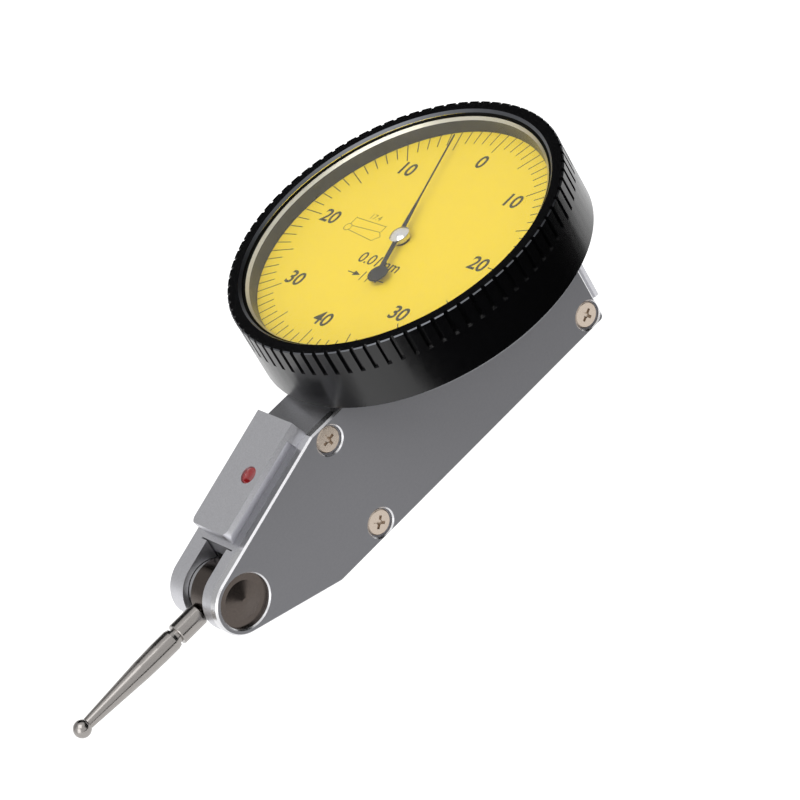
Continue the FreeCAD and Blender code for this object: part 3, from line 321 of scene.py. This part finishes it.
# ---- dial print ----------------------------------------------------------------------------------
def on_dial(along, aside):
    """A point on the dial from millimetres towards the zero and millimetres to its reader's right."""
    turn = math.radians(PRINT_TURN)
    x, y = along * MM, -aside * MM
    return Vector((x * math.cos(turn) - y * math.sin(turn), x * math.sin(turn) + y * math.cos(turn),
                   DIAL_TOP))


def print_on(name, mesh, ink):
    """Puts a printed mesh on the dial, in ink, turning with the bezel."""
    piece = bpy.data.objects.new(name, mesh)
    bpy.context.scene.collection.objects.link(piece)
    mesh.materials.clear()
    mesh.materials.append(ink)
    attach(piece, "bezel_group")


def film(work, outline):
    """Adds a flat printed patch with the given corners and the ink's thickness."""
    rise = Vector((0, 0, INK_HEIGHT * MM))
    rim = [work.verts.new(p + rise) for p in outline]
    foot = [work.verts.new(p) for p in outline]
    work.faces.new(rim)
    for i in range(len(outline)):
        j = (i + 1) % len(outline)
        work.faces.new((rim[i], foot[i], foot[j], rim[j]))


def printed(name, outlines, ink=None):
    """Printed patches as one piece."""
    work = bmesh.new()
    for outline in outlines:
        film(work, outline)
    bmesh.ops.recalc_face_normals(work, faces=work.faces)
    mesh = bpy.data.meshes.new(name)
    work.to_mesh(mesh)
    work.free()
    print_on(name, mesh, ink or INK)


def stroke(start, end, width):
    """The corners of a straight stroke between two (along, aside) places."""
    a, b = on_dial(*start), on_dial(*end)
    side = (b - a).normalized().cross(Vector((0, 0, 1))) * width * MM / 2
    return [a + side, b + side, b - side, a - side]


def words(name, text, place, height, weight, ink=None):
    """Printed upright characters, centred on a place of the dial, with their tops to the zero."""
    curve = bpy.data.curves.new(name, "FONT")
    curve.body = text
    curve.size = height * MM / CAP_SHARE
    curve.offset = weight * MM
    curve.align_x = "CENTER"
    curve.align_y = "CENTER"
    curve.extrude = INK_HEIGHT * MM / 2
    letters = bpy.data.objects.new(name, curve)
    bpy.context.scene.collection.objects.link(letters)
    bpy.context.view_layer.update()
    mesh = bpy.data.meshes.new_from_object(letters.evaluated_get(bpy.context.evaluated_depsgraph_get()))
    bpy.data.objects.remove(letters)
    turn = Quaternion((0, 0, 1), math.radians(PRINT_TURN - 90)).to_matrix().to_4x4()
    turn.translation = on_dial(*place) + Vector((0, 0, INK_HEIGHT * MM / 2))
    mesh.transform(turn)
    print_on(name, mesh, ink or INK)


def round_place(radius, degrees):
    """A place on the dial at an angle from the zero, clockwise for its reader."""
    angle = math.radians(degrees)
    return radius * math.cos(angle), radius * math.sin(angle)


def scale_print():
    """The divisions, some with longer lines, and the balanced numerals."""
    step = 360 / DIVISIONS
    lines = []
    for i in range(DIVISIONS):
        inner = TICK_SHORT_INNER if i % LONG_TICK_EVERY else TICK_LONG_INNER
        lines.append(stroke(round_place(inner, i * step), round_place(TICK_OUTER, i * step), TICK_WIDTH))
    printed("dial_ticks", lines)
    for i, number in enumerate(NUMERALS):
        place = round_place(NUMERAL_RADIUS, 360 / len(NUMERALS) * i)
        words(f"numeral_{i}", str(number), place, NUMERAL_HEIGHT, NUMERAL_WEIGHT)


def unit_print():
    """The unit, and below it two arrows that point at a pair of bars."""
    words("unit_text", "0.01mm", UNIT_PLACE, UNIT_HEIGHT, UNIT_WEIGHT)
    level = ARROW_LEVEL
    marks = []
    for side in (-1, 1):
        outer, inner = (side * end for end in ARROW_SHAFT)
        foot, tip = (side * end for end in ARROW_HEAD)
        bar = side * BAR_ASIDE
        marks.append(stroke((level, outer), (level, inner), ARROW_LINE))
        marks.append([on_dial(level + ARROW_HEAD_HALF, foot), on_dial(level, tip),
                      on_dial(level - ARROW_HEAD_HALF, foot)])
        marks.append(stroke((level + BAR_HALF, bar), (level - BAR_HALF, bar), ARROW_LINE))
    printed("division_symbol", marks)


def contact_sketch():
    """The fine sketch of a contact point with its length."""
    along, aside = SKETCH_BALL
    angles = [2 * math.pi * i / SKETCH_BALL_SIDES for i in range(SKETCH_BALL_SIDES)]
    ball = [(along + SKETCH_BALL_RADIUS * math.cos(a), aside + SKETCH_BALL_RADIUS * math.sin(a))
            for a in angles]
    lines = list(SKETCH_DIMENSION + SKETCH_SHANK)
    lines += [(ball[i - 1], ball[i]) for i in range(len(ball))]
    printed("contact_sketch", [stroke(start, end, SKETCH_LINE) for start, end in lines], FINE_INK)
    words("contact_length", "17.4", LENGTH_TEXT_PLACE, LENGTH_TEXT_HEIGHT, 0, FINE_INK)


# ---- studio --------------------------------------------------------------------------------------
def seen_rays(tree):
    """1 for the rays that see the background itself: from the camera, through glass and off metal."""
    rays = add(tree, "ShaderNodeLightPath")
    first = add(tree, "ShaderNodeMath", {"operation": "MAXIMUM"}, _0=rays.outputs["Is Camera Ray"],
                _1=rays.outputs["Is Transmission Ray"])
    both = add(tree, "ShaderNodeMath", {"operation": "MAXIMUM"}, _0=first.outputs[0],
               _1=rays.outputs["Is Glossy Ray"])
    return both.outputs[0]


def floor():
    """A pale floor that shows white and keeps the shadow."""
    bpy.ops.mesh.primitive_plane_add(size=FLOOR_SIZE)
    plane = bpy.context.object
    plane.name = "floor"
    plane.location.z = FLOOR_LEVEL
    material, tree, shader = surface("pale_floor", "#B4B4B4", 0.0, 0.9, Specular_IOR_Level=0.0)
    glow = add(tree, "ShaderNodeEmission", Color=linear("#FFFFFF"), Strength=seen_rays(tree))
    both = add(tree, "ShaderNodeAddShader", _0=shader.outputs["BSDF"], _1=glow.outputs["Emission"])
    tree.links.new(both.outputs["Shader"], tree.nodes["Material Output"].inputs["Surface"])
    plane.data.materials.append(material)


def card(name, corners, colour):
    """A flat card beside the part that shows only in its reflections."""
    mesh = bpy.data.meshes.new(name)
    mesh.from_pydata([Vector(c) for c in corners], [], [tuple(range(len(corners)))])
    flag = bpy.data.objects.new(name, mesh)
    bpy.context.scene.collection.objects.link(flag)
    material, _, shader = surface(name + "_cloth", "#000000", 0.0, 1.0, Specular_IOR_Level=0.0)
    shader.inputs["Emission Color"].default_value = linear(colour)
    shader.inputs["Emission Strength"].default_value = 1.0
    mesh.materials.append(material)
    flag.visible_camera = False
    flag.visible_diffuse = False
    flag.visible_shadow = False
    flag.visible_transmission = False


def softbox(name, place, size, watts):
    """A rectangular lamp turned to the part."""
    data = bpy.data.lights.new(name, "AREA")
    data.shape = "RECTANGLE"
    data.size, data.size_y = size
    data.energy = watts
    lamp = bpy.data.objects.new(name, data)
    bpy.context.scene.collection.objects.link(lamp)
    lamp.location = place
    lamp.rotation_mode = "QUATERNION"
    lamp.rotation_quaternion = (Vector(STUDIO_AIM) - Vector(place)).to_track_quat("-Z", "Y")


def studio():
    """A world that is white to see and weak as a light, the softboxes, the cards and the floor."""
    world = bpy.data.worlds.new("studio")
    bpy.context.scene.world = world
    world.use_nodes = True
    tree = world.node_tree
    level = add(tree, "ShaderNodeMapRange", Value=seen_rays(tree), _3=WORLD_LIGHT, _4=WORLD_SEEN)
    back = tree.nodes["Background"]
    back.inputs["Color"].default_value = linear("#FFFFFF")
    tree.links.new(level.outputs["Result"], back.inputs["Strength"])
    for name, (place, size, watts) in SOFTBOXES.items():
        softbox(name, place, size, watts)
    for name, (corners, colour) in CARDS.items():
        card(name, corners, colour)
    floor()


def camera():
    """The camera, turned about its own axis by the roll."""
    data = bpy.data.cameras.new("camera")
    data.lens = CAMERA_LENS
    data.sensor_width = SENSOR_WIDTH
    data.clip_start = CLIP_START
    view = bpy.data.objects.new("camera", data)
    bpy.context.scene.collection.objects.link(view)
    azimuth, elevation = math.radians(CAMERA_AZIMUTH), math.radians(CAMERA_ELEVATION)
    out = Vector((math.sin(azimuth) * math.cos(elevation), -math.cos(azimuth) * math.cos(elevation),
                  math.sin(elevation)))
    view.location = CAMERA_AIM + out * CAMERA_DISTANCE
    view.rotation_mode = "QUATERNION"
    roll = Quaternion((0, 0, 1), math.radians(CAMERA_ROLL))
    view.rotation_quaternion = (-out).to_track_quat("-Z", "Y") @ roll
    bpy.context.scene.camera = view


dress()
scale_print()
unit_print()
contact_sketch()
studio()
camera()
bpy.context.scene.view_settings.view_transform = "Standard"
